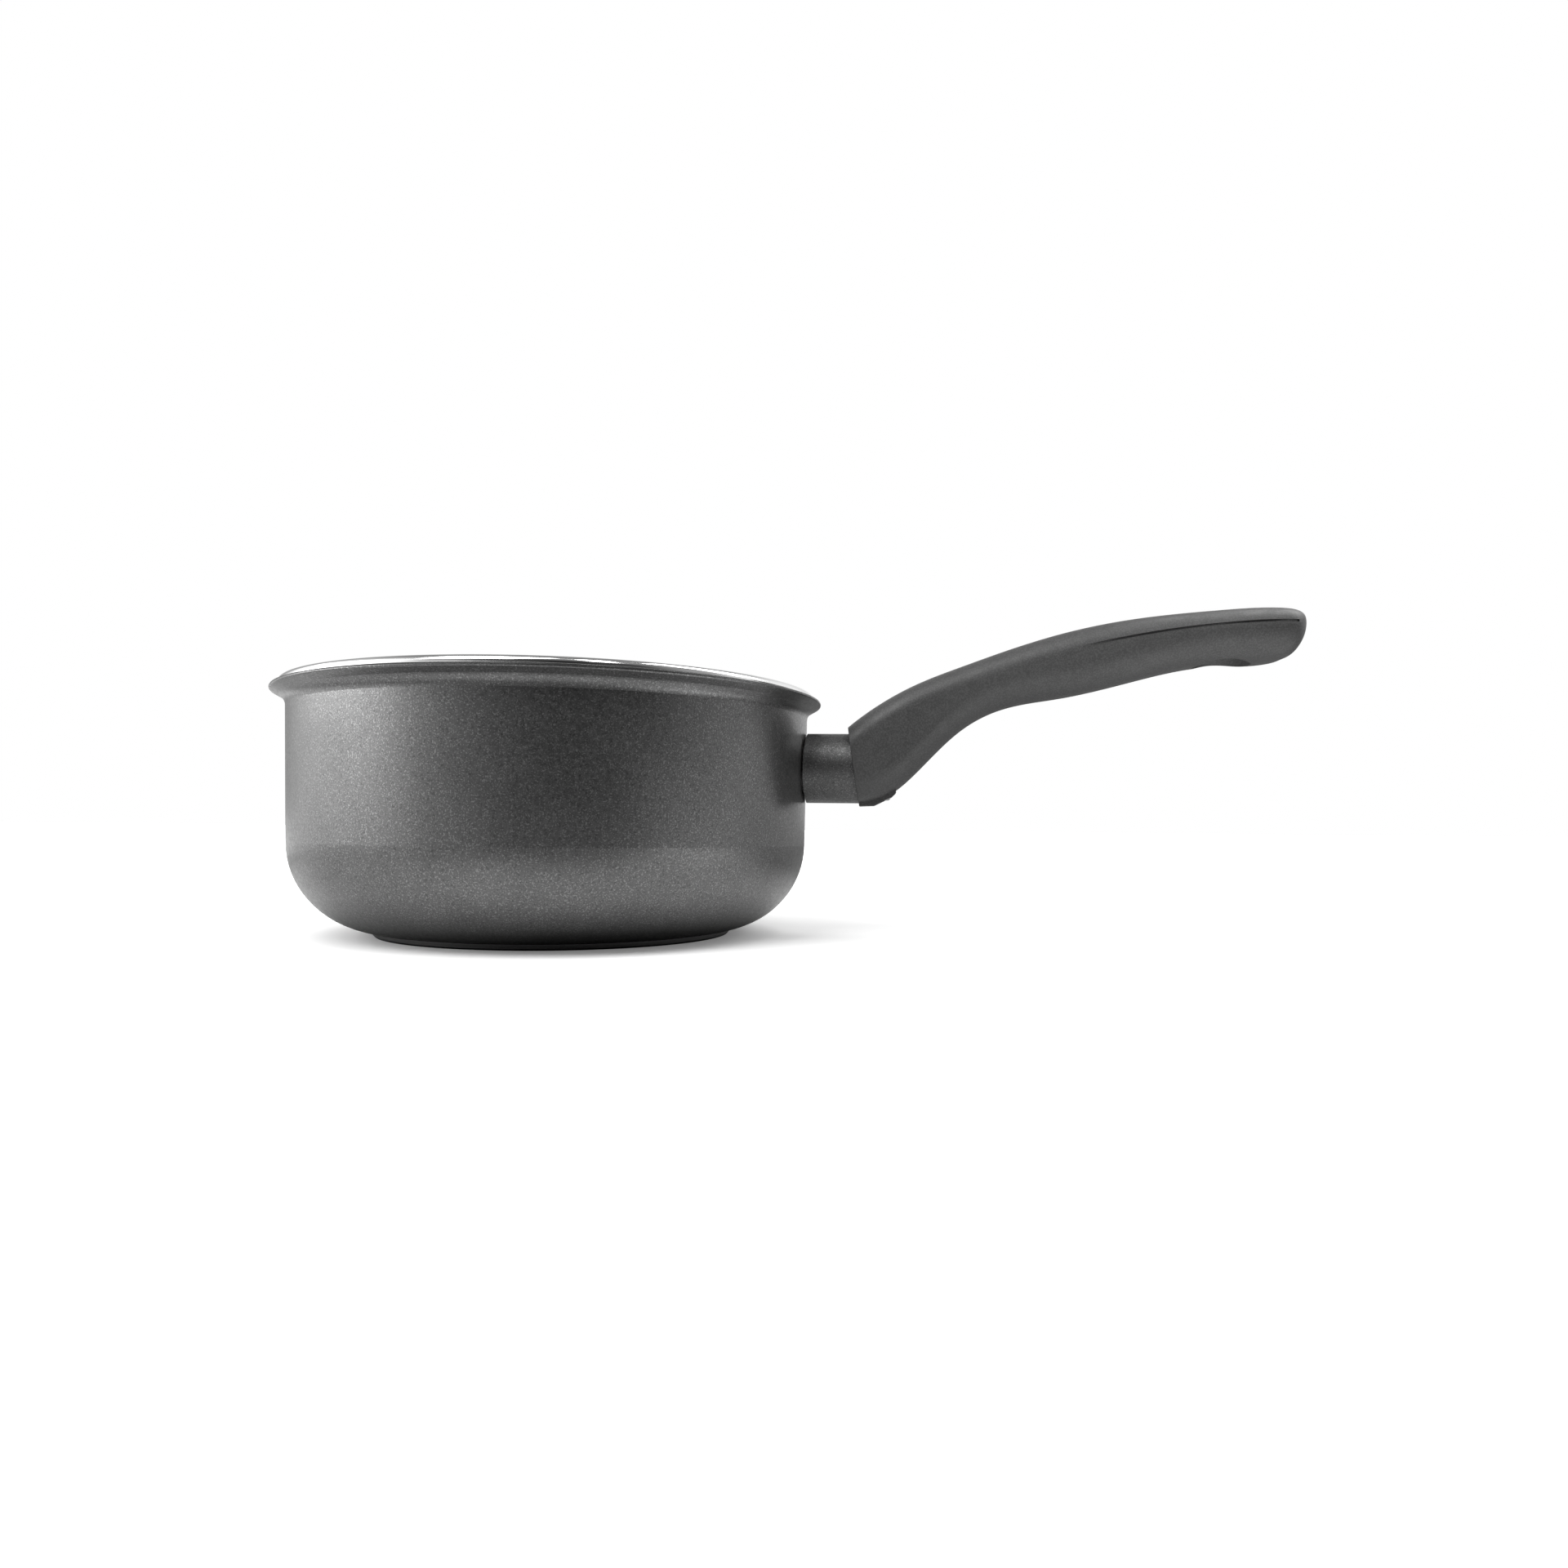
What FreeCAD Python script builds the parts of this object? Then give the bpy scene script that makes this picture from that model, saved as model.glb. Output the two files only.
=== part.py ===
"""Saucepan with a glass lid, as a parametric FreeCAD document.

Frame: the origin is on the pan's axis in the plane that it stands on, +Z up, +X along the handle.
The lid lies upside down on the pan, its knob inside, as such sets are often packed.
All sizes are in millimetres and are driven by the cells of the sheet "Sizes".
"""
import FreeCAD, Part
import math
import os
import Sketcher

Vector = FreeCAD.Vector

# ---------------------------------------------------------------- driving dimensions

SIZES = {
    # pan: pressed aluminium with a steel disc in its base
    "wall_radius": 80.0,          # outside of the wall, just under the flared lip
    "wall_draft": 0.84,           # how much narrower the wall is at the bottom
    "wall_thickness": 2.5,
    "corner_radius": 27.3,        # outside round between wall and bottom
    "bottom_height": 1.5,         # the disc stands proud of the bottom by this much
    "floor_thickness": 4.5,       # pan bottom, disc recess included
    "lip_height": 73.0,           # underside of the lip's edge above the table
    "lip_reach": 4.5,             # lip beyond the wall
    "lip_rise": 2.5,              # how much the lip climbs over its reach
    "lip_thickness": 1.1,
    "lip_fillet": 3.6,            # hollow under the lip
    "lip_edge_round": 0.5,
    "disc_radius": 55.4,
    "disc_thickness": 3.0,
    "disc_chamfer": 0.5,
    # handle mounting
    "grip_height": 52.8,          # axis of the ferrule and the tang
    "ferrule_radius": 10.9,
    "ferrule_bore": 8.5,
    "ferrule_gap": 0.6,           # shadow gap between ferrule and wall
    "stud_radius": 7.5,
    "stud_reach": 8.0,
    "tang_reach": 26.5,
    "tang_width": 11.0,
    "tang_height": 9.5,
    "socket_clearance": 0.2,
    "root_reach": 15.0,           # handle's front face, measured at the ferrule axis
    "root_lean": 8.66,            # degrees the front face leans back to the pan at its top
    "root_gap": 0.1,
    # handle screw, from below
    "screw_reach": 22.7,
    "screw_radius": 2.5,
    "screw_clearance": 0.2,
    "screw_head_radius": 3.9,
    "screw_head_height": 2.4,
    "screw_floor": 1.5,           # plastic left under the socket
    "screw_tip": 1.5,             # the tip stays this far inside the tang
    "counterbore_clearance": 0.3,
    "lock_washer_thickness": 1.0,
    "lock_washer_slit": 0.8,
    "thread_clearance": 0.05,
    "socket_spare": 1.0,          # socket left beyond the tang's end
    "boss_width": 12.5,
    "boss_end": 28.2,             # reach of the boss's back end
    "boss_heel": 21.5,            # reach of the boss's lowest bend
    "boss_front_drop": 1.0,       # boss below the ferrule: at its front,
    "boss_heel_drop": 0.7,        # at the bend,
    "boss_back_rise": 2.0,        # and above it at the end
    "boss_corner": 1.2,           # slanted corner at the end
    # handle
    "crown_round": 7.0,           # round between the handle's top and sides
    "belly_round": 9.3,           # round between the handle's underside and sides
    "tail_start": 141.0,
    "tail_length": 9.2,
    "tail_tip": 43.7,             # height of the tail's tip above the ferrule axis
    "tail_top": 48.5,
    "tail_belly": 32.9,
    "tail_width": 24.0,
    "crease_start": 76.0,         # the crease along each side fades in behind here
    "crease_low": 34.4,           # its heights above the ferrule axis, at its start
    "crease_high": 43.7,          # and at the tail
    "crease_radius": 280.0,       # its slow bend upwards
    "crease_gap": 0.7,
    "crease_depth": 0.65,         # sideways, from the handle's widest place
    "crease_lead": 0.15,          # how far off the palm's side the crease's floor begins
    "hang_reach": 126.5,          # centre of the hanging hole
    "hang_length": 13.0,
    "hang_width": 7.0,
    "scoop_length": 17.6,
    "scoop_width": 15.0,
    "scoop_depth": 16.0,
    "scoop_rise": 30.7,           # centre of the scoop above the ferrule axis
    # lid
    "lid_overhang": 2.3,          # lid radius beyond the pan's wall
    "seat_gap": 0.2,
    "glass_thickness": 2.8,
    "strip_thickness": 0.35,
    "strip_leg": 3.3,
    "glass_inset": 0.3,
    "dome_inset": 5.9,            # from the rim's round to the start of the dome
    "dome_depth": 18.0,
    "dome_shoulder": 6.0,
    "hub_hole": 4.5,
    "vent_reach": 42.0,
    "vent_hole": 3.4,
    "vent_bore": 2.0,
    "vent_flange": 6.0,
    "vent_sheet": 0.5,
    "vent_clearance": 0.15,
    # lid knob
    "knob_radius": 19.0,
    "knob_height": 25.0,
    "knob_neck": 8.5,
    "knob_neck_length": 11.0,
    "knob_cap": 8.0,
    "knob_round": 5.0,
    "knob_edge": 3.0,
    "insert_radius": 4.0,
    "insert_length": 12.0,
    "insert_groove": 0.5,
    "insert_groove_width": 2.4,
    "fit_gap": 0.05,
    "gasket_radius": 9.0,
    "gasket_thickness": 1.2,
    "seal_radius": 8.0,
    "seal_thickness": 1.2,
    "shield_radius": 16.0,
    "shield_thickness": 0.6,
    "shield_lip": 1.4,
    "washer_radius": 8.5,
    "washer_thickness": 0.8,
    "knob_screw_radius": 2.4,
    "knob_head_radius": 4.6,
    "knob_head_height": 2.8,
    "knob_screw_spare": 1.0,      # bore left beyond the screw's tip
    "knob_screw_past": 2.0,       # the tip stands this far out of the insert
    "head_round": 0.4,            # round of a screw head, as a share of its height
    "cross_length": 4.6,
    "cross_width": 1.1,
    "cross_depth": 1.3,
}

# Sections of the handle from the front to the start of the tail. Each has its reach from the wall,
# the height of its top and of its underside above the ferrule axis, and its width.
STATIONS = {
    "front": (8.0, 7.2, -12.2, 24.0),
    "heel": (17.0, 15.4, -11.3, 25.0),
    "shoulder": (26.0, 21.4, -8.4, 25.0),
    "neck": (36.0, 26.6, 0.2, 23.0),
    "bend": (48.0, 31.4, 11.8, 20.5),
    "waist": (60.0, 35.8, 18.3, 19.5),
    "palm": (78.0, 41.3, 22.0, 21.0),
    "grip": (100.0, 45.5, 27.2, 23.5),
    "rear": (124.0, 47.8, 32.0, 24.5),
}
TAIL_ANGLES = (0, 30, 50, 66, 79)    # further sections, spaced in degrees round the tail's end

# ---------------------------------------------------------------- sizes and their expressions


class Size:
    """One size of the model: its value now, and the sheet expression that gives it."""

    def __init__(self, value, text):
        self.value = value
        self.text = text

    def __add__(self, other):
        other = as_size(other)
        return Size(self.value + other.value, f"({self.text} + {other.text})")

    def __radd__(self, other):
        return as_size(other) + self

    def __sub__(self, other):
        other = as_size(other)
        return Size(self.value - other.value, f"({self.text} - {other.text})")

    def __rsub__(self, other):
        return as_size(other) - self

    def __mul__(self, other):
        other = as_size(other)
        return Size(self.value * other.value, f"({self.text} * {other.text})")

    def __rmul__(self, other):
        return as_size(other) * self

    def __truediv__(self, other):
        other = as_size(other)
        return Size(self.value / other.value, f"({self.text} / {other.text})")

    def __neg__(self):
        return 0 - self

    def root(self):
        return Size(math.sqrt(self.value), f"sqrt({self.text})")

    def tangent(self):
        """The tangent of an angle in degrees."""
        return Size(math.tan(math.radians(self.value)), f"tan({self.text} * 1 deg)")

    def arcsine(self):
        """The angle in degrees that has this sine."""
        return Size(math.degrees(math.asin(self.value)), f"(asin({self.text}) / 1 deg)")


def as_size(number):
    """Give a plain number the same form as a size from the sheet."""
    return number if isinstance(number, Size) else Size(float(number), f"({float(number)!r})")


def make_sheet(doc):
    """Write the driving dimensions into the sheet and return them by name."""
    cells = dict(SIZES)
    for station, (reach, top, belly, width) in STATIONS.items():
        cells[f"{station}_reach"] = reach
        cells[f"{station}_top"] = top
        cells[f"{station}_belly"] = belly
        cells[f"{station}_width"] = width
    sheet = doc.addObject("Spreadsheet::Sheet", "Sizes")
    for row, (name, value) in enumerate(cells.items(), start=1):
        sheet.set(f"A{row}", name)
        sheet.set(f"B{row}", str(value))
        sheet.setAlias(f"B{row}", name)
    doc.recompute()
    return {name: Size(float(sheet.get(name)), f"Sizes.{name}") for name in cells}


# ---------------------------------------------------------------- building helpers


def bind(item, path, size):
    """Tie one property of a document object to the sheet."""
    item.setExpression(path, as_size(size).text)


def new_body(doc, label):
    body = doc.addObject("PartDesign::Body", label)
    body.Label = label
    return body


def new_sketch(body, name, plane):
    """Add a sketch on one of the body's own origin planes."""
    sketch = body.newObject("Sketcher::SketchObject", name)
    support = next(item for item in body.Origin.OriginFeatures if item.Role == plane)
    sketch.AttachmentSupport = [(support, "")]
    sketch.MapMode = "FlatFace"
    return sketch


def constrain(sketch, kind, *arguments, size=None):
    """Add a constraint, tied to the sheet where it has a size."""
    if size is None:
        return sketch.addConstraint(Sketcher.Constraint(kind, *arguments))
    size = as_size(size)
    index = sketch.addConstraint(Sketcher.Constraint(kind, *arguments, size.value))
    name = f"size{index}"
    sketch.renameConstraint(index, name)
    bind(sketch, f"Constraints.{name}", size)
    return index


def arc_middle(start, end, radius, side):
    """Give the middle point of the shorter arc; side 1 bulges to the left of start to end."""
    chord = end - start
    half = chord.Length / 2
    radius = max(radius, half)
    sagitta = radius - math.sqrt(radius * radius - half * half)
    left = Vector(-chord.y, chord.x, 0).normalize()
    return (start + end) * 0.5 + left * (sagitta * side)


def draw_outline(sketch, corners, arcs=None):
    """Draw a closed outline through corners that are tied to the sheet.

    corners is a list of (across, up) sizes. arcs gives, for the stretch that starts at a corner,
    (kind, size, side): kind is "radius", or "centre" with the across position of the centre.
    """
    arcs = arcs or {}
    count = len(corners)
    points = [Vector(as_size(across).value, as_size(up).value, 0) for across, up in corners]
    ends = []
    for index, start in enumerate(points):
        end = points[(index + 1) % count]
        if index not in arcs:
            sketch.addGeometry(Part.LineSegment(start, end), False)
            ends.append((1, 2))
            continue
        kind, size, side = arcs[index]
        radius = as_size(size).value if kind == "radius" else (end - start).Length / 2
        middle = arc_middle(start, end, radius, side)
        if side > 0:
            sketch.addGeometry(Part.Arc(end, middle, start), False)
            ends.append((2, 1))
        else:
            sketch.addGeometry(Part.Arc(start, middle, end), False)
            ends.append((1, 2))
    for index in range(count):
        follower = (index + 1) % count
        constrain(sketch, "Coincident", index, ends[index][1], follower, ends[follower][0])
    for index, (across, up) in enumerate(corners):
        constrain(sketch, "DistanceX", -1, 1, index, ends[index][0], size=across)
        constrain(sketch, "DistanceY", -1, 1, index, ends[index][0], size=up)
    for index, (kind, size, side) in arcs.items():
        if kind == "radius":
            constrain(sketch, "Radius", index, size=size)
        else:
            constrain(sketch, "DistanceX", -1, 1, index, 3, size=size)


def finish_edges(body, name, chosen, size, kind="Fillet"):
    """Round or chamfer the edges of the body's last feature that chosen(edge) accepts."""
    base = body.Tip
    names = [f"Edge{index}" for index, edge in enumerate(base.Shape.Edges, start=1) if chosen(edge)]
    if not names:
        raise RuntimeError(f"{body.Label}: no edge found for {name}")
    feature = body.newObject(f"PartDesign::{kind}", name)
    feature.Base = (base, names)
    bind(feature, "Radius" if kind == "Fillet" else "Size", size)
    body.Document.recompute()
    return feature


def ring_edge(radius, height):
    """Choose the circle of this radius and height about the Z axis."""
    radius = as_size(radius).value
    height = as_size(height).value

    def chosen(edge):
        curve = edge.Curve
        if curve.TypeId != "Part::GeomCircle":
            return False
        centre = curve.Center
        on_axis = math.hypot(centre.x, centre.y) < 1e-4
        return on_axis and abs(curve.Radius - radius) < 1e-4 and abs(centre.z - height) < 1e-4

    return chosen


def turned(doc, label, corners, arcs=None, rounds=()):
    """Make a piece turned about Z. rounds holds (corner number, radius) pairs."""
    body = new_body(doc, label)
    sketch = new_sketch(body, f"{label}_profile", "XZ_Plane")
    draw_outline(sketch, corners, arcs)
    turn = body.newObject("PartDesign::Revolution", f"{label}_turn")
    turn.Profile = sketch
    turn.ReferenceAxis = (sketch, ["V_Axis"])
    turn.Angle = 360
    doc.recompute()
    for number, (corner, radius) in enumerate(rounds):
        finish_edges(body, f"{label}_round{number}", ring_edge(*corners[corner]), radius)
    return body


def place(feature, x=0, y=0, z=0, axis=None, angle=0):
    """Place a feature or a body, its position and turn tied to the sheet."""
    if axis is not None:
        feature.Placement = FreeCAD.Placement(Vector(), FreeCAD.Rotation(axis, as_size(angle).value))
        if isinstance(angle, Size):
            bind(feature, "Placement.Rotation.Angle", angle)
    for path, size in (("x", x), ("y", y), ("z", z)):
        bind(feature, f"Placement.Base.{path}", size)


def rod(body, name, radius, length, cut=False, **where):
    kind = "Subtractive" if cut else "Additive"
    feature = body.newObject(f"PartDesign::{kind}Cylinder", name)
    bind(feature, "Radius", radius)
    bind(feature, "Height", length)
    place(feature, **where)
    return feature


def block(body, name, length, width, height, cut=False, **where):
    """Add or cut a box; where gives its low X end and the middle of its Y and Z sides."""
    kind = "Subtractive" if cut else "Additive"
    feature = body.newObject(f"PartDesign::{kind}Box", name)
    bind(feature, "Length", length)
    bind(feature, "Width", width)
    bind(feature, "Height", height)
    middle_z = where.get("z", 0)
    place(feature, where.get("x", 0), -as_size(width) / 2, middle_z - as_size(height) / 2)
    return feature


def slab(body, name, corners, width, arcs=None, cut=False):
    """Add or cut a plate drawn from the side and centred on the XZ plane."""
    sketch = new_sketch(body, f"{name}_outline", "XZ_Plane")
    draw_outline(sketch, corners, arcs)
    feature = body.newObject("PartDesign::Pocket" if cut else "PartDesign::Pad", name)
    feature.Profile = sketch
    feature.SideType = "Symmetric"
    bind(feature, "Length", width)
    return feature


ALONG_X = {"axis": Vector(0, 1, 0), "angle": 90}


# ---------------------------------------------------------------- pan


def pan_places(s):
    """Work out the places on the pan that other pieces fit to."""
    lip_edge = s["wall_radius"] + s["lip_reach"]
    slant = (s["lip_reach"] * s["lip_reach"] + s["lip_rise"] * s["lip_rise"]).root()
    sine = s["lip_rise"] / slant
    cosine = s["lip_reach"] / slant
    thick = s["lip_thickness"]
    return {
        "lip_outer": (lip_edge, s["lip_height"]),
        "lip_inner": (lip_edge - thick * sine, s["lip_height"] + thick * cosine),
        "lip_slope": s["lip_rise"] / s["lip_reach"],
        "lip_cosine": cosine,
        "flare": s["lip_height"] - s["lip_rise"],
        "bore": s["wall_radius"] - s["wall_thickness"],
        "foot": s["wall_radius"] - s["wall_draft"],
    }


def make_pan_body(doc, s):
    at = pan_places(s)
    lip_x, lip_z = at["lip_inner"]
    foot_bore = at["foot"] - s["wall_thickness"]
    corners = [
        (0, s["bottom_height"]),
        (at["foot"], s["bottom_height"]),
        (s["wall_radius"], at["flare"]),
        at["lip_outer"],
        at["lip_inner"],
        (at["bore"], lip_z - (lip_x - at["bore"]) * at["lip_slope"]),
        (foot_bore, s["bottom_height"] + s["floor_thickness"]),
        (0, s["bottom_height"] + s["floor_thickness"]),
    ]
    inner_corner = s["corner_radius"] - s["wall_thickness"]
    rounds = [
        (1, s["corner_radius"]),
        (6, inner_corner),
        (2, s["lip_fillet"]),
        (5, s["lip_fillet"] + s["wall_thickness"] / 2),
        (3, s["lip_edge_round"]),
        (4, s["lip_edge_round"]),
    ]
    body = turned(doc, "pan_body", corners, rounds=rounds)
    rod(body, "disc_recess", s["disc_radius"] + s["fit_gap"], s["disc_thickness"], cut=True)
    return body


def make_base_disc(doc, s):
    body = new_body(doc, "base_disc")
    rod(body, "disc", s["disc_radius"], s["disc_thickness"])
    doc.recompute()
    finish_edges(body, "foot_edge", ring_edge(s["disc_radius"], 0), s["disc_chamfer"], "Chamfer")
    return body


# ---------------------------------------------------------------- handle mounting


def wall_cut(body, s, name, gap):
    """Cut a piece back to the pan's wall, gap clear of it."""
    at = pan_places(s)
    feature = body.newObject("PartDesign::SubtractiveCone", name)
    bind(feature, "Radius1", at["foot"] + gap)
    bind(feature, "Radius2", s["wall_radius"] + gap)
    bind(feature, "Height", at["flare"] - s["bottom_height"])
    place(feature, z=s["bottom_height"])


def root_cut(body, s, name, gap, keep_front):
    """Cut a piece along the handle's leaning front face and keep one side of the cut."""
    width = s["ferrule_radius"] * 6
    half = width / 2
    lean = half * s["root_lean"].tangent()
    face = s["wall_radius"] + s["root_reach"] + gap
    away = width if keep_front else -width
    corners = [
        (face + lean, s["grip_height"] - half),
        (face - lean, s["grip_height"] + half),
        (face - lean + away, s["grip_height"] + half),
        (face + lean + away, s["grip_height"] - half),
    ]
    slab(body, name, corners, width, cut=True)


def make_handle_bracket(doc, s):
    body = new_body(doc, "handle_bracket")
    start = s["wall_radius"] - s["stud_reach"]
    rod(body, "stud", s["stud_radius"], s["stud_reach"] * 2, x=start, z=s["grip_height"], **ALONG_X)
    block(body, "tang", s["tang_reach"] + s["stud_reach"], s["tang_width"], s["tang_height"],
          x=start, z=s["grip_height"])
    wall_cut(body, s, "weld_face", 0)
    rod(body, "thread", s["screw_radius"] + s["thread_clearance"], s["tang_height"] * 2, cut=True,
        x=s["wall_radius"] + s["screw_reach"], z=s["grip_height"] - s["tang_height"])
    return body


def make_ferrule(doc, s):
    body = new_body(doc, "ferrule")
    start = s["wall_radius"] - s["stud_reach"]
    length = s["stud_reach"] + s["root_reach"] * 2
    rod(body, "sleeve", s["ferrule_radius"], length, x=start, z=s["grip_height"], **ALONG_X)
    rod(body, "bore", s["ferrule_bore"], length, cut=True, x=start, z=s["grip_height"], **ALONG_X)
    wall_cut(body, s, "saddle", s["ferrule_gap"])
    root_cut(body, s, "butt_face", 0, keep_front=True)
    return body


def screw_levels(s):
    """Heights of the handle screw's head, lock washer and tip."""
    seat = s["grip_height"] - s["tang_height"] / 2 - s["socket_clearance"] - s["screw_floor"]
    under_head = seat - s["lock_washer_thickness"] - s["fit_gap"] * 2
    return {
        "seat": seat,
        "under_head": under_head,
        "head": under_head - s["screw_head_height"],
        "tip": s["grip_height"] + s["tang_height"] / 2 - s["screw_tip"],
    }


def cut_cross(body, s, top):
    """Cut the driver cross into a screw head whose face is at top."""
    for name, length, width in (("slot_a", "cross_length", "cross_width"),
                                ("slot_b", "cross_width", "cross_length")):
        block(body, name, s[length], s[width], s["cross_depth"] * 2, cut=True,
              x=-s[length] / 2, z=top)


def make_screw(doc, s, label, head_radius, head_height, shank_radius, length):
    """Make a pan-head screw, head upwards, with its shoulder at height 0."""
    corners = [
        (0, -length),
        (shank_radius, -length),
        (shank_radius, 0),
        (head_radius, 0),
        (head_radius, head_height),
        (0, head_height),
    ]
    body = turned(doc, label, corners, rounds=[(4, head_height * s["head_round"])])
    cut_cross(body, s, head_height)
    return body


def make_handle_screw(doc, s):
    level = screw_levels(s)
    length = level["tip"] - level["under_head"]
    body = make_screw(doc, s, "handle_screw", s["screw_head_radius"], s["screw_head_height"],
                      s["screw_radius"], length)
    place(body, s["wall_radius"] + s["screw_reach"], 0, level["under_head"], Vector(1, 0, 0), 180)
    return body


def make_lock_washer(doc, s):
    level = screw_levels(s)
    inner = s["screw_radius"] + s["screw_clearance"]
    outer = s["screw_head_radius"]
    thick = s["lock_washer_thickness"]
    corners = [(inner, 0), (outer, 0), (outer, thick), (inner, thick)]
    body = turned(doc, "lock_washer", corners)
    block(body, "split", outer * 2, s["lock_washer_slit"], thick * 3, cut=True)
    place(body, s["wall_radius"] + s["screw_reach"], 0, level["under_head"] + s["fit_gap"])
    return body


# ---------------------------------------------------------------- handle


def handle_section(body, s, name, reach, top, belly, width, crown, under):
    """Draw one section of the handle: a rectangle with large rounds, across the handle's length."""
    sketch = new_sketch(body, f"{name}_section", "YZ_Plane")
    bind(sketch, "AttachmentOffset.Base.z", s["wall_radius"] + reach)
    top = s["grip_height"] + top
    belly = s["grip_height"] + belly
    half = as_size(width) / 2
    w, t, b, c, u = (size.value for size in (half, top, belly, as_size(crown), as_size(under)))
    corners = [(-w + u, b), (w - u, b), (w, b + u), (w, t - c), (w - c, t), (-w + c, t),
               (-w, t - c), (-w, b + u)]
    centres = {1: (w - u, b + u), 3: (w - c, t - c), 5: (c - w, t - c), 7: (u - w, b + u)}
    for index, (across, up) in enumerate(corners):
        if index in centres:
            centre = Vector(*centres[index], 0)
            radius = u if index in (1, 7) else c
            circle = Part.Circle(centre, Vector(0, 0, 1), radius)
            quarter = {1: -1, 3: 0, 5: 1, 7: 2}[index] * math.pi / 2
            sketch.addGeometry(Part.ArcOfCircle(circle, quarter, quarter + math.pi / 2), False)
        else:
            following = corners[(index + 1) % 8]
            line = Part.LineSegment(Vector(across, up, 0), Vector(*following, 0))
            sketch.addGeometry(line, False)
    for index in range(8):
        constrain(sketch, "Tangent", index, 2, (index + 1) % 8, 1)
    constrain(sketch, "Horizontal", 0)
    constrain(sketch, "Vertical", 2)
    constrain(sketch, "Horizontal", 4)
    constrain(sketch, "Vertical", 6)
    constrain(sketch, "Equal", 1, 7)
    constrain(sketch, "Equal", 3, 5)
    constrain(sketch, "Radius", 1, size=under)
    constrain(sketch, "Radius", 3, size=crown)
    constrain(sketch, "DistanceX", -1, 1, 2, 1, size=half)
    constrain(sketch, "DistanceX", -1, 1, 6, 1, size=-half)
    constrain(sketch, "DistanceY", -1, 1, 4, 1, size=top)
    constrain(sketch, "DistanceY", -1, 1, 0, 1, size=belly)
    return sketch


def handle_loft(body, s):
    """Draw the sections from the front to the rounded tail and join them into one smooth piece."""
    sections = []
    for station in STATIONS:
        sections.append(handle_section(
            body, s, station, s[f"{station}_reach"], s[f"{station}_top"],
            s[f"{station}_belly"], s[f"{station}_width"], s["crown_round"], s["belly_round"]))
    for angle in TAIL_ANGLES:
        along = math.sin(math.radians(angle))
        left = math.cos(math.radians(angle))
        reach = s["tail_start"] + s["tail_length"] * along
        top = s["tail_tip"] + (s["tail_top"] - s["tail_tip"]) * left ** 0.5
        belly = s["tail_tip"] - (s["tail_tip"] - s["tail_belly"]) * left ** 1.2
        sections.append(handle_section(
            body, s, f"tail{angle}", reach, top, belly, s["tail_width"] * left ** 0.8,
            s["crown_round"] * left, s["belly_round"] * left))
    loft = body.newObject("PartDesign::AdditiveLoft", "grip")
    loft.Profile = sections[0]
    loft.Sections = sections[1:]
    loft.Ruled = False
    body.Document.recompute()


def make_handle(doc, s):
    body = new_body(doc, "handle")
    handle_loft(body, s)
    add_screw_boss(body, s)
    root_cut(body, s, "front_face", s["root_gap"], keep_front=False)
    cut_socket(body, s)
    cut_hanging_hole(body, s)
    crease = body.newObject("PartDesign::Boolean", "side_crease")
    crease.Type = "Cut"
    crease.setObjects([make_crease_cutter(doc, s)])
    return body


def make_crease_cutter(doc, s):
    """Make the thin strips beside the grip, as far as the middle of the tail, that cut the crease."""
    body = new_body(doc, "crease_cutter")
    start = s["wall_radius"] + s["crease_start"]
    end = s["wall_radius"] + s["tail_start"] + s["tail_length"] / 2
    low = s["grip_height"] + s["crease_low"]
    high = s["grip_height"] + s["crease_high"]
    half = s["crease_gap"] / 2
    corners = [(start, low - half), (end, high - half), (end, high + half), (start, low + half)]
    arcs = {0: ("radius", s["crease_radius"], 1), 2: ("radius", s["crease_radius"], -1)}
    slab(body, "strip", corners, s["tail_width"] * 2, arcs)
    core = new_sketch(body, "core_outline", "XY_Plane")
    draw_core_outline(core, s)
    pocket = body.newObject("PartDesign::Pocket", "core")
    pocket.Profile = core
    pocket.SideType = "Symmetric"
    bind(pocket, "Length", high * 2 + s["tail_top"])
    return body


def draw_core_outline(sketch, s):
    """Draw, from above, the part of the handle that lies inside the crease's floor."""
    root = s["wall_radius"]
    depth = s["crease_depth"]
    side = [
        (root + s["crease_start"] - depth, s["palm_width"] / 2 + s["crease_lead"]),
        (root + s["grip_reach"], s["grip_width"] / 2 - depth),
        (root + s["rear_reach"], s["rear_width"] / 2 - depth),
        (root + s["tail_start"], s["tail_width"] / 2 - depth),
        (root + s["tail_start"] + s["tail_length"] - depth, s["tail_width"] / 2 - s["tail_length"]),
    ]
    corners = side + [(along, -across) for along, across in reversed(side)]
    bend = s["tail_length"] - depth
    last = len(side) - 1
    draw_outline(sketch, corners, {last - 1: ("radius", bend, 1), last + 1: ("radius", bend, 1)})


def add_screw_boss(body, s):
    """Add the pad under the front end that the handle screw enters."""
    root = s["wall_radius"]
    axis = s["grip_height"]
    low = axis - s["ferrule_radius"]
    corners = [
        (root + s["root_reach"], low - s["boss_front_drop"]),
        (root + s["boss_heel"], low - s["boss_heel_drop"]),
        (root + s["boss_end"] - s["boss_corner"], low + s["boss_back_rise"]),
        (root + s["boss_end"], low + s["boss_back_rise"] + s["boss_corner"]),
        (root + s["boss_end"], axis),
        (root + s["root_reach"], axis),
    ]
    slab(body, "screw_boss", corners, s["boss_width"])


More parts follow.
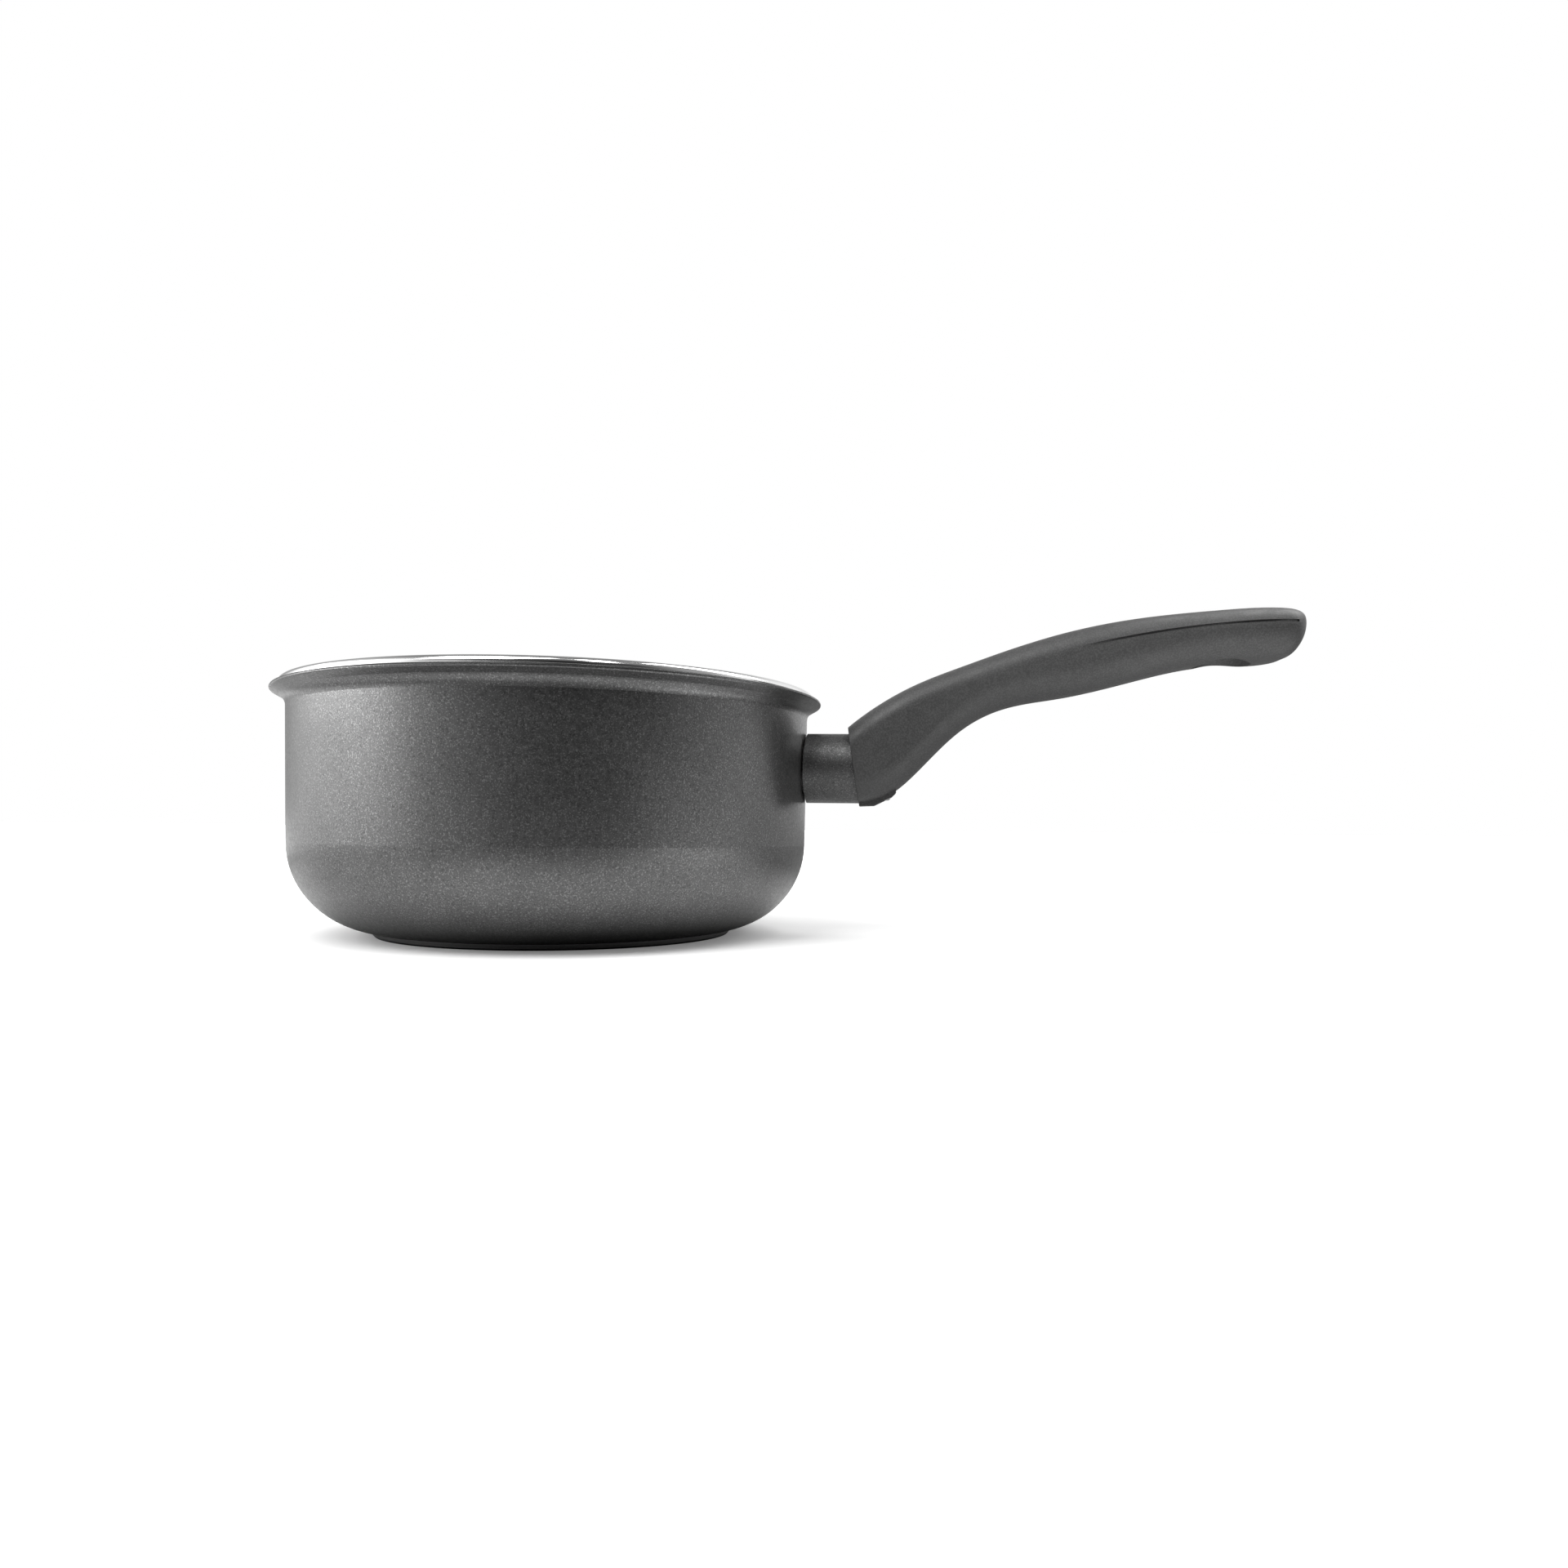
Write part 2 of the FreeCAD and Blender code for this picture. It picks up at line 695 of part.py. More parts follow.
def cut_socket(body, s):
    """Cut the socket for the tang, and the screw's hole and counterbore."""
    root = s["wall_radius"]
    level = screw_levels(s)
    clear = s["socket_clearance"]
    block(body, "socket", s["tang_reach"] + s["socket_spare"], s["tang_width"] + clear * 2,
          s["tang_height"] + clear * 2, cut=True, x=root, z=s["grip_height"])
    where = {"x": root + s["screw_reach"], "z": s["grip_height"] - s["ferrule_radius"] * 2}
    rod(body, "screw_hole", s["screw_radius"] + s["screw_clearance"], s["ferrule_radius"] * 2,
        cut=True, **where)
    rod(body, "counterbore", s["screw_head_radius"] + s["counterbore_clearance"],
        level["seat"] - where["z"], cut=True, **where)


def cut_hanging_hole(body, s):
    """Cut the hanging hole: a round-ended slot that opens into a scoop under the tail."""
    middle = s["wall_radius"] + s["hang_reach"]
    half = (s["hang_length"] - s["hang_width"]) / 2
    low = s["grip_height"] + s["scoop_rise"]
    depth = s["tail_top"]
    radius = s["hang_width"] / 2
    rod(body, "slot_front", radius, depth, cut=True, x=middle - half, z=low)
    rod(body, "slot_back", radius, depth, cut=True, x=middle + half, z=low)
    block(body, "slot_middle", half * 2, s["hang_width"], depth, cut=True,
          x=middle - half, z=low + depth / 2)
    scoop = body.newObject("PartDesign::SubtractiveEllipsoid", "scoop")
    bind(scoop, "Radius1", s["scoop_depth"] / 2)
    bind(scoop, "Radius2", s["scoop_length"] / 2)
    bind(scoop, "Radius3", s["scoop_width"] / 2)
    place(scoop, x=middle, z=low)


# ---------------------------------------------------------------- lid


def lid_places(s):
    """Work out the lid's own levels. Height 0 is the middle of its steel rim."""
    pan = pan_places(s)
    lip_x, lip_z = pan["lip_inner"]
    nose = s["glass_thickness"] / 2 + s["strip_thickness"]
    nose_centre = s["wall_radius"] + s["lid_overhang"] - nose
    lip_level = lip_z - (lip_x - nose_centre) * pan["lip_slope"]
    seat = lip_level + (nose + s["seat_gap"]) / pan["lip_cosine"]
    dome_edge = nose_centre - s["dome_inset"]
    depth = s["dome_depth"]
    sphere = (dome_edge * dome_edge + depth * depth) / (depth * 2)
    upper = s["glass_thickness"] / 2 - depth
    return {
        "nose": nose,
        "nose_centre": nose_centre,
        "seat": seat,
        "dome_edge": dome_edge,
        "sphere": sphere,
        "centre": upper + sphere,
        "upper": upper,
        "lower": upper - s["glass_thickness"],
    }


def dome_level(at, s, radius, lower=False):
    """Give the height of the glass's upper or lower surface at a radius from the axis."""
    sphere = at["sphere"] + (s["glass_thickness"] if lower else 0)
    return at["centre"] - (sphere * sphere - radius * radius).root()


def seat_on_pan(body, at, z=0, **turn):
    place(body, z=at["seat"] + z, **turn)


def make_lid_glass(doc, s):
    at = lid_places(s)
    half = s["glass_thickness"] / 2
    edge = at["nose_centre"] - s["glass_inset"]
    outer = at["sphere"] + s["glass_thickness"]
    rise = at["centre"] + half
    foot = (outer * outer - rise * rise).root()
    hole = s["hub_hole"]
    corners = [
        (hole, dome_level(at, s, hole)),
        (hole, dome_level(at, s, hole, lower=True)),
        (foot, -half),
        (edge, -half),
        (edge, half),
        (at["dome_edge"], half),
    ]
    arcs = {1: ("radius", outer, -1), 5: ("radius", at["sphere"], 1)}
    rounds = [(5, s["dome_shoulder"] + s["glass_thickness"]), (2, s["dome_shoulder"])]
    body = turned(doc, "lid_glass", corners, arcs, rounds)
    lean = (s["vent_reach"] / at["sphere"]).arcsine()
    rod(body, "vent_hole", s["vent_hole"], at["sphere"] + s["glass_thickness"] * 2, cut=True,
        z=at["centre"], axis=Vector(0, 1, 0), angle=180 - lean)
    seat_on_pan(body, at)
    return body


def make_lid_rim(doc, s):
    """The C-shaped strip rolled round the glass's edge."""
    at = lid_places(s)
    outer = at["nose"]
    inner = s["glass_thickness"] / 2
    leg = at["nose_centre"] - s["strip_leg"]
    corners = [
        (leg, -outer),
        (at["nose_centre"], -outer),
        (at["nose_centre"], outer),
        (leg, outer),
        (leg, inner),
        (at["nose_centre"], inner),
        (at["nose_centre"], -inner),
        (leg, -inner),
    ]
    arcs = {1: ("centre", at["nose_centre"], -1), 5: ("centre", at["nose_centre"], 1)}
    body = turned(doc, "lid_rim", corners, arcs)
    seat_on_pan(body, at)
    return body


def make_vent_grommet(doc, s):
    """The rolled eyelet in the steam vent, square to the glass where it sits."""
    at = lid_places(s)
    barrel = s["vent_hole"] - s["vent_clearance"]
    flange = s["vent_flange"]
    bore = s["vent_bore"]
    face = s["glass_thickness"] / 2 + s["vent_clearance"]
    sheet = s["vent_sheet"]
    corners = [
        (bore, -face - sheet),
        (flange, -face - sheet),
        (flange, -face),
        (barrel, -face),
        (barrel, face),
        (flange, face),
        (flange, face + sheet),
        (bore, face + sheet),
    ]
    body = turned(doc, "vent_grommet", corners)
    middle = at["sphere"] + s["glass_thickness"] / 2
    sine = s["vent_reach"] / at["sphere"]
    cosine = (1 - sine * sine).root()
    place(body, middle * sine, 0, at["seat"] + at["centre"] - middle * cosine,
          Vector(0, -1, 0), sine.arcsine())
    return body


# ---------------------------------------------------------------- lid knob


def knob_levels(s):
    """Heights of the pieces clamped at the lid's centre, below and above the glass."""
    at = lid_places(s)
    gap = s["fit_gap"]
    gasket = at["lower"] - gap
    shield = gasket - s["gasket_thickness"] - gap
    seal = dome_level(at, s, s["seal_radius"]) + gap
    return {
        "gasket": gasket,
        "shield": shield,
        "knob": shield - s["shield_thickness"] - gap,
        "seal": seal,
        "washer": seal + s["seal_thickness"] + gap,
        "head": seal + s["seal_thickness"] + s["washer_thickness"] + gap * 2,
    }


def flat_ring(doc, s, label, inner, outer, thickness, top):
    """Make a flat ring hanging below top, in the lid's own heights."""
    corners = [(inner, -thickness), (outer, -thickness), (outer, 0), (inner, 0)]
    body = turned(doc, label, corners)
    seat_on_pan(body, lid_places(s), z=top)
    return body


def make_knob_gasket(doc, s):
    level = knob_levels(s)
    inner = s["hub_hole"] + s["fit_gap"]
    return flat_ring(doc, s, "knob_gasket", inner, s["gasket_radius"], s["gasket_thickness"],
                     level["gasket"])


def make_seal(doc, s):
    """The silicone washer inside the lid, with a collar that lines the hole in the glass."""
    at = lid_places(s)
    level = knob_levels(s)
    bore = s["knob_screw_radius"] + s["screw_clearance"]
    collar = s["hub_hole"] - s["fit_gap"] * 2
    corners = [
        (bore, at["lower"]),
        (collar, at["lower"]),
        (collar, level["seal"]),
        (s["seal_radius"], level["seal"]),
        (s["seal_radius"], level["seal"] + s["seal_thickness"]),
        (bore, level["seal"] + s["seal_thickness"]),
    ]
    body = turned(doc, "inner_seal", corners)
    seat_on_pan(body, at)
    return body


def make_knob_washer(doc, s):
    level = knob_levels(s)
    bore = s["knob_screw_radius"] + s["screw_clearance"]
    return flat_ring(doc, s, "knob_washer", bore, s["washer_radius"], s["washer_thickness"],
                     level["washer"] + s["washer_thickness"])


def make_heat_shield(doc, s):
    """The steel dish between knob and glass, its edge turned towards the knob."""
    level = knob_levels(s)
    bore = s["knob_screw_radius"] + s["screw_clearance"]
    thick = s["shield_thickness"]
    radius = s["shield_radius"]
    corners = [
        (bore, -thick),
        (radius - thick, -thick),
        (radius - thick, -thick - s["shield_lip"]),
        (radius, -thick - s["shield_lip"]),
        (radius, 0),
        (bore, 0),
    ]
    body = turned(doc, "heat_shield", corners)
    seat_on_pan(body, lid_places(s), z=level["shield"])
    return body


def make_knob(doc, s):
    bore = s["insert_radius"] + s["fit_gap"]
    screw = s["knob_screw_radius"] + s["screw_clearance"]
    deep = knob_screw_length(s) - knob_drop(s) + s["knob_screw_spare"]
    corners = [
        (0, -s["knob_height"]),
        (s["knob_radius"], -s["knob_height"]),
        (s["knob_radius"], s["knob_cap"] - s["knob_height"]),
        (s["knob_neck"], -s["knob_neck_length"]),
        (s["knob_neck"], 0),
        (bore, 0),
        (bore, -s["insert_length"]),
        (screw, -s["insert_length"]),
        (screw, -deep),
        (0, -deep),
    ]
    rounds = [(1, s["knob_round"]), (2, s["knob_edge"]), (3, s["knob_round"])]
    body = turned(doc, "knob", corners, rounds=rounds)
    seat_on_pan(body, lid_places(s), z=knob_levels(s)["knob"])
    return body


def knob_drop(s):
    """Distance from the screw head's shoulder down to the knob's top."""
    level = knob_levels(s)
    return level["head"] - level["knob"]


def knob_screw_length(s):
    return knob_drop(s) + s["insert_length"] + s["knob_screw_past"]


def make_knob_insert(doc, s):
    """The brass insert moulded into the knob, with a groove that locks it in."""
    radius = s["insert_radius"]
    neck = radius - s["insert_groove"]
    bore = s["knob_screw_radius"] + s["thread_clearance"]
    length = s["insert_length"] - s["fit_gap"]
    groove_low = (length + s["insert_groove_width"]) / 2
    groove_high = (length - s["insert_groove_width"]) / 2
    corners = [
        (bore, -length),
        (radius, -length),
        (radius, -groove_low),
        (neck, -groove_low),
        (neck, -groove_high),
        (radius, -groove_high),
        (radius, -s["fit_gap"]),
        (bore, -s["fit_gap"]),
    ]
    body = turned(doc, "knob_insert", corners)
    seat_on_pan(body, lid_places(s), z=knob_levels(s)["knob"])
    return body


def make_knob_screw(doc, s):
    body = make_screw(doc, s, "knob_screw", s["knob_head_radius"], s["knob_head_height"],
                      s["knob_screw_radius"], knob_screw_length(s))
    seat_on_pan(body, lid_places(s), z=knob_levels(s)["head"])
    return body


# ---------------------------------------------------------------- the whole

MAKERS = (
    make_pan_body, make_base_disc, make_handle_bracket, make_ferrule, make_handle,
    make_handle_screw, make_lock_washer, make_lid_glass, make_lid_rim, make_vent_grommet,
    make_knob_gasket, make_seal, make_knob_washer, make_heat_shield, make_knob,
    make_knob_insert, make_knob_screw,
)


def check_document(doc):
    """Stop on a failed object, or on a cut that removes nothing."""
    for item in doc.Objects:
        if "Invalid" in item.State or "Error" in item.State:
            raise RuntimeError(f"{item.Label} failed: {item.State}")
        cuts = item.TypeId.startswith("PartDesign::Subtractive") or item.TypeId == "PartDesign::Pocket"
        if cuts and item.Shape.Volume >= item.BaseFeature.Shape.Volume - 1e-6:
            raise RuntimeError(f"{item.Label} cuts nothing")


def check_shape(body):
    shape = body.Shape
    if shape.isNull() or not shape.isValid() or len(shape.Solids) != 1:
        raise RuntimeError(f"{body.Label} is not one valid solid")


def main():
    doc = FreeCAD.newDocument("Saucepan")
    sizes = make_sheet(doc)
    bodies = [make(doc, sizes) for make in MAKERS]
    doc.recompute()
    check_document(doc)
    os.makedirs("parts", exist_ok=True)
    for body in bodies:
        check_shape(body)
        body.Shape.exportStep(f"parts/{body.Label}.step")
        print(f"{body.Label}: {body.Shape.Volume / 1000:.2f} cm3")


main()
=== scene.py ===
"""Looks of the saucepan with its glass lid: materials, floor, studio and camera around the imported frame."""
import math

import bpy
from mathutils import Matrix, Vector


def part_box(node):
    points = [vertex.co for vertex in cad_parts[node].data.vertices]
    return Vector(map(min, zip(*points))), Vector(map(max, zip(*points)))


MM = 0.001

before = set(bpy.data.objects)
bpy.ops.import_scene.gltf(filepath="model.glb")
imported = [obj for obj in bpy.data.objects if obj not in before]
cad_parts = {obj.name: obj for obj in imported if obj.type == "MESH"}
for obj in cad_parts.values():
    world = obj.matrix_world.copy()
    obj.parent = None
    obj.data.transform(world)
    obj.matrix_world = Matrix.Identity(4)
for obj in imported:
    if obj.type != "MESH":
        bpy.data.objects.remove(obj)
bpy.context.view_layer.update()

# ---------------------------------------------------------------- camera

CAMERA_PLACE = Vector((102.3, -333.1, 34.2)) * MM
CAMERA_TURN = math.radians(5.0)    # the handle points a little towards the camera
CAMERA_ROLL = math.radians(0.57)
CAMERA_LENS = 24.26                # mm, on a sensor this wide:
CAMERA_SENSOR = 36.0
CAMERA_SHIFT = 0.0275              # the horizon lies a little below the middle of the picture
CAMERA_NEAR = 0.01
CAMERA_FAR = 50.0


def make_camera():
    """The photograph's camera."""
    data = bpy.data.cameras.new("camera")
    data.lens = CAMERA_LENS
    data.sensor_width = CAMERA_SENSOR
    data.shift_y = CAMERA_SHIFT
    data.clip_start = CAMERA_NEAR
    data.clip_end = CAMERA_FAR
    camera = bpy.data.objects.new("camera", data)
    level = Matrix.Rotation(CAMERA_TURN, 4, "Z") @ Matrix.Rotation(math.radians(90), 4, "X")
    camera.matrix_world = Matrix.Translation(CAMERA_PLACE) @ level @ Matrix.Rotation(CAMERA_ROLL, 4, "Z")
    bpy.context.scene.collection.objects.link(camera)
    bpy.context.scene.camera = camera


# ---------------------------------------------------------------- node helpers

NOISE_LOW = 0.3     # nearly all of a noise's values lie between these two
NOISE_HIGH = 0.7
MIX_FACTOR = 0      # a Mix node's inputs by number: the factor,
MIX_VALUES = 2      # the first of two values, the second coming next,
MIX_COLOURS = 6     # and the first of two colours
MIXED_VALUE = 0     # and its outputs
MIXED_COLOUR = 2


def colour(value):
    """Turn a grey level into a colour; leave colours and sockets alone."""
    if isinstance(value, (int, float)):
        return (value, value, value, 1.0)
    return value


class Nodes:
    """A node tree, with short calls for the nodes used here. Any value may be a number or a socket."""

    def __init__(self, tree, coordinates):
        self.tree = tree
        self.place = self.add("ShaderNodeTexCoord").outputs[coordinates]

    def add(self, kind, **settings):
        node = self.tree.nodes.new(kind)
        for name, value in settings.items():
            setattr(node, name, value)
        return node

    def feed(self, node, inputs):
        """Set or link a node's inputs, given by name or by number."""
        for key, value in inputs.items():
            if isinstance(value, bpy.types.NodeSocket):
                self.tree.links.new(value, node.inputs[key])
            else:
                node.inputs[key].default_value = value
        return node

    def math(self, operation, first, second=0.0):
        return self.feed(self.add("ShaderNodeMath", operation=operation), {0: first, 1: second}).outputs[0]

    def length(self, first, second):
        """Length of the diagonal over two sides."""
        squares = [self.math("MULTIPLY", side, side) for side in (first, second)]
        return self.math("SQRT", self.math("ADD", *squares))

    def ramp(self, value, low, high, result_low=0.0, result_high=1.0):
        """Map low..high of a value to result_low..result_high, smoothly and clamped."""
        node = self.add("ShaderNodeMapRange", interpolation_type="SMOOTHSTEP")
        self.feed(node, {"Value": value, "From Min": low, "From Max": high,
                         "To Min": result_low, "To Max": result_high})
        return node.outputs["Result"]

    def spread(self, noise, result_low=0.0, result_high=1.0):
        """Spread a noise over result_low..result_high."""
        return self.ramp(noise, NOISE_LOW, NOISE_HIGH, result_low, result_high)

    def noise(self, scale, detail=2.0, vector=None):
        node = self.add("ShaderNodeTexNoise")
        self.feed(node, {"Vector": vector or self.place, "Scale": scale, "Detail": detail})
        return node.outputs["Fac"]

    def mix(self, factor, first, second, blend="MIX"):
        """Mix two colours or grey levels."""
        node = self.add("ShaderNodeMix", data_type="RGBA", blend_type=blend)
        self.feed(node, {MIX_FACTOR: factor, MIX_COLOURS: colour(first), MIX_COLOURS + 1: colour(second)})
        return node.outputs[MIXED_COLOUR]

    def choose(self, factor, first, second):
        """Mix two values."""
        node = self.add("ShaderNodeMix")
        self.feed(node, {MIX_FACTOR: factor, MIX_VALUES: first, MIX_VALUES + 1: second})
        return node.outputs[MIXED_VALUE]

    def split(self, vector=None):
        return self.feed(self.add("ShaderNodeSeparateXYZ"), {0: vector or self.place}).outputs

    def from_axis(self):
        """Distance from the pan's axis."""
        x, y, _ = self.split()
        return self.length(x, y)

    def rings(self, around, across):
        """Coordinates that stretch a noise into rings about the pan's axis."""
        x, y, z = self.split()
        joined = self.add("ShaderNodeCombineXYZ")
        self.feed(joined, {0: self.math("MULTIPLY", self.math("ARCTAN2", y, x), around),
                           1: self.math("MULTIPLY", self.from_axis(), across),
                           2: self.math("MULTIPLY", z, across)})
        return joined.outputs[0]

    def bump(self, height, distance, strength):
        node = self.add("ShaderNodeBump")
        self.feed(node, {"Height": height, "Distance": distance, "Strength": strength})
        return node.outputs["Normal"]

    def for_camera(self):
        return self.add("ShaderNodeLightPath").outputs["Is Camera Ray"]


class Material(Nodes):
    """A new material's node tree, in its object's own coordinates."""

    def __init__(self, name):
        self.material = bpy.data.materials.new(name)
        self.material.use_nodes = True
        super().__init__(self.material.node_tree, "Object")
        self.shader = self.tree.nodes["Principled BSDF"]

    def shade(self, **inputs):
        """Set or link the shader's inputs, underscores standing for spaces, and return the material."""
        self.feed(self.shader, {name.replace("_", " "): value for name, value in inputs.items()})
        return self.material


# ---------------------------------------------------------------- materials
# A noise's scale is in patches to the metre.

COATING_METAL = 0.9
COATING_ROUGHNESS_SPREAD = 0.05
FLECK = 1.9                        # the coating's light flecks, as a multiple of its own level,
SPOT = 0.45                        # and its dark spots,
SPOT_STRENGTH = 0.5                # which show this strongly

# The lining ends within the metal: half-way through the wall, and just under the lip's upper side.
LIP_REACH = 4.1 * MM               # of the lip beyond the wall, roughly
LIP_SLOPE = 0.556                  # of the lip's upper side
LIP_SKIN = 0.5 * MM                # depth of the lining on the lip
CORNER_INWARD = 27.7 * MM          # centre of the corner's round: this far inside the wall
CORNER_HEIGHT = 28.8 * MM          # and this high above the floor
LINING_ROUND = 26.1 * MM           # the lining lies nearer to that centre than this
LINING_LEVEL = 0.035

PAINTED_SHADE_WIDTH = 1.5 * MM             # painted shade: the base disc is darkened along its edge, where it stands in shadow on the floor, fully so this close to it
PAINTED_SHADE_FULL = 0.3 * MM              # fully so this close to it
PAINTED_SHADE_LEVEL = 0.05

BRASS_DARK = (0.55, 0.38, 0.16, 1)
BRASS_LIGHT = (0.7, 0.5, 0.24, 1)


def lining_mask(n):
    """Mark the pan's inside and the upper side of its lip."""
    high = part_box("pan_body")[1]
    radius = n.from_axis()
    height = n.split()[2]
    corner = high.x - LIP_REACH - CORNER_INWARD
    across = n.math("MAXIMUM", n.math("SUBTRACT", radius, corner), 0.0)
    down = n.math("MAXIMUM", n.math("SUBTRACT", CORNER_HEIGHT, height), 0.0)
    in_wall = n.math("LESS_THAN", n.length(across, down), LINING_ROUND)
    rise = n.math("SUBTRACT", height, n.math("MULTIPLY", radius, LIP_SLOPE))
    on_lip = n.math("GREATER_THAN", rise, high.z - LIP_SKIN - LIP_SLOPE * high.x)
    return n.math("MAXIMUM", in_wall, on_lip)


def speckled_coating(name, level, roughness, lined=False):
    """Fine metallic-flake coating, with a darker lining inside where it is lined."""
    n = Material(name)
    fleck = n.ramp(n.noise(2600, detail=1.0), 0.52, NOISE_HIGH)
    spot = n.ramp(n.noise(1700, detail=1.0), 0.56, NOISE_HIGH)
    cloud = n.spread(n.noise(60, detail=3.0), 0.94, 1.06)
    base = n.mix(fleck, level, level * FLECK)
    base = n.mix(n.math("MULTIPLY", spot, SPOT_STRENGTH), base, level * SPOT)
    base = n.mix(1.0, base, cloud, blend="MULTIPLY")
    if lined:
        base = n.mix(lining_mask(n), base, LINING_LEVEL)
    rough = n.spread(n.noise(900), roughness - COATING_ROUGHNESS_SPREAD, roughness + COATING_ROUGHNESS_SPREAD)
    return n.shade(Base_Color=base, Roughness=rough, Metallic=COATING_METAL,
                    Normal=n.bump(n.noise(1500), 0.04 * MM, 0.5))


def moulded_plastic(name, level):
    """Soft-touch moulded plastic with a fine even grain."""
    n = Material(name)
    grain = n.noise(2200)
    patch = n.math("MULTIPLY", n.spread(n.noise(45)), 0.12)
    base = n.mix(n.ramp(grain, 0.4, 0.65), level * 0.8, level * 1.3)
    return n.shade(Base_Color=n.mix(patch, base, level * 1.6),
                    Roughness=n.spread(n.noise(300), 0.46, 0.56),
                    Normal=n.bump(grain, 0.05 * MM, 0.6))


def polished_steel(name, level=0.78, roughness=0.09):
    """Mirror-like rolled strip with faint lines along the rolling."""
    n = Material(name)
    lines = n.noise(1.0, vector=n.rings(around=2.7, across=9000))
    return n.shade(Base_Color=n.mix(n.spread(lines), level * 0.92, level),
                    Roughness=n.spread(lines, roughness * 0.7, roughness * 1.5),
                    Metallic=1.0, Normal=n.bump(lines, 0.01 * MM, 0.25))


def turned_steel(name):
    """Steel disc faced on a lathe: fine rings about the axis, and its edge darkened with painted shade."""
    n = Material(name)
    lines = n.noise(1.0, detail=3.0, vector=n.rings(around=1.8, across=4000))
    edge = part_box("base_disc")[1].x
    # painted shade: the disc's edge is darkened where it stands in shadow on the floor
    painted_shade = n.ramp(n.from_axis(), edge - PAINTED_SHADE_WIDTH, edge - PAINTED_SHADE_FULL)
    face = n.mix(n.spread(lines), 0.42, 0.62)
    return n.shade(Base_Color=n.mix(painted_shade, face, PAINTED_SHADE_LEVEL), Roughness=n.spread(lines, 0.26, 0.42),
                    Metallic=1.0, Normal=n.bump(lines, 0.03 * MM, 0.6))


def plated_steel(name, level=0.6, roughness=0.28):
    """Plain steel or aluminium with a fine grain."""
    n = Material(name)
    grain = n.noise(1800)
    return n.shade(Base_Color=n.mix(n.spread(grain), level * 0.85, level * 1.1),
                    Roughness=n.spread(grain, roughness * 0.8, roughness * 1.3),
                    Metallic=1.0, Normal=n.bump(grain, 0.02 * MM, 0.4))


def clear_glass(name):
    """Glass with the faintest smears."""
    n = Material(name)
    smear = n.noise(35, detail=3.0)
    return n.shade(Base_Color=n.mix(n.spread(smear), 0.96, 0.99),
                    Roughness=n.ramp(smear, 0.35, 0.75, 0.0, 0.02),
                    Transmission_Weight=1.0, IOR=1.5)


def silicone(name):
    """Black rubber with a fine grain."""
    n = Material(name)
    grain = n.noise(1500)
    return n.shade(Base_Color=n.mix(n.spread(grain), 0.02, 0.035), Roughness=n.spread(grain, 0.5, 0.65),
                    Normal=n.bump(grain, 0.04 * MM, 0.5))


def brass(name):
    """Drawn brass with a fine grain."""
    n = Material(name)
    grain = n.noise(1500)
    return n.shade(Base_Color=n.mix(n.spread(grain), BRASS_DARK, BRASS_LIGHT),
                    Roughness=n.spread(grain, 0.25, 0.4), Metallic=1.0)


def dress_nodes():
    """Give every CAD node its material."""
    looks = {
        "pan_body": speckled_coating("pan_coating", level=0.13, roughness=0.33, lined=True),
        "ferrule": speckled_coating("ferrule_coating", level=0.09, roughness=0.48),
        "base_disc": turned_steel("base_steel"),
        "handle": moulded_plastic("handle_plastic", level=0.045),
        "knob": moulded_plastic("knob_plastic", level=0.06),
        "lid_glass": clear_glass("lid_glass"),
        "lid_rim": polished_steel("rim_steel"),
        "vent_grommet": plated_steel("grommet_steel", level=0.7, roughness=0.15),
        "heat_shield": polished_steel("shield_steel"),
        "knob_gasket": silicone("silicone"),
        "knob_insert": brass("insert_brass"),
        "handle_bracket": plated_steel("bracket_aluminium", level=0.7, roughness=0.35),
    }
    looks["inner_seal"] = looks["knob_gasket"]
    for name in ("handle_screw", "lock_washer", "knob_washer", "knob_screw"):
        looks[name] = plated_steel(f"{name}_steel")
    for name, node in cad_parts.items():
        for slot in node.material_slots:
            slot.material = looks[name]


# ---------------------------------------------------------------- floor

FLOOR_SIDE = 12.0
FLOOR_BOUNCE = 0.25    # how pale the floor is to everything but the camera
# painted light: the floor glows in these pools to light the pan
PAN_POOL = 0.75        # light from the floor beside the pan,
TAIL_POOL = 1.5        # in front of the handle's tail
LEFT_POOL = 1.2        # and further left
TAIL_POOL_X = 0.27     # middle of the tail's pool
TAIL_POOL_Y = -0.10


def floor_lift(n, radius):
    """Glow of the floor that the camera sees, with painted shadow: less beside the pan, where its shadow
    lies.
    """
    # painted shadow: the floor glows less close to the pan
    near = n.ramp(radius, 0.05, 0.11, 0.15, 0.3)
    far = n.ramp(radius, 0.2, 1.2, 0.0, 0.8)
    return n.math("ADD", near, far)


def floor_pools(n, radius):
    """Painted light glowing from the floor: a pool round the pan, dark under it as painted shadow, one by the
    tail and one to the left.
    """
    x, y, _ = n.split()
    aside = n.math("ADD", radius, n.math("MULTIPLY", x, 0.3))
    # painted shadow: no glow under the pan itself
    by_pan = n.math("MULTIPLY", n.ramp(radius, 0.06, 0.09), n.ramp(aside, 0.10, 0.22, PAN_POOL, 0.0))
    along = n.math("MULTIPLY", n.math("SUBTRACT", x, TAIL_POOL_X), 0.8)
    ahead = n.math("SUBTRACT", y, TAIL_POOL_Y)
    by_tail = n.ramp(n.length(along, ahead), 0.05, 0.18, TAIL_POOL, 0.0)
    to_left = n.ramp(x, -0.5, -0.2, LEFT_POOL, 0.0)
    return n.math("ADD", n.math("ADD", by_pan, by_tail), to_left)


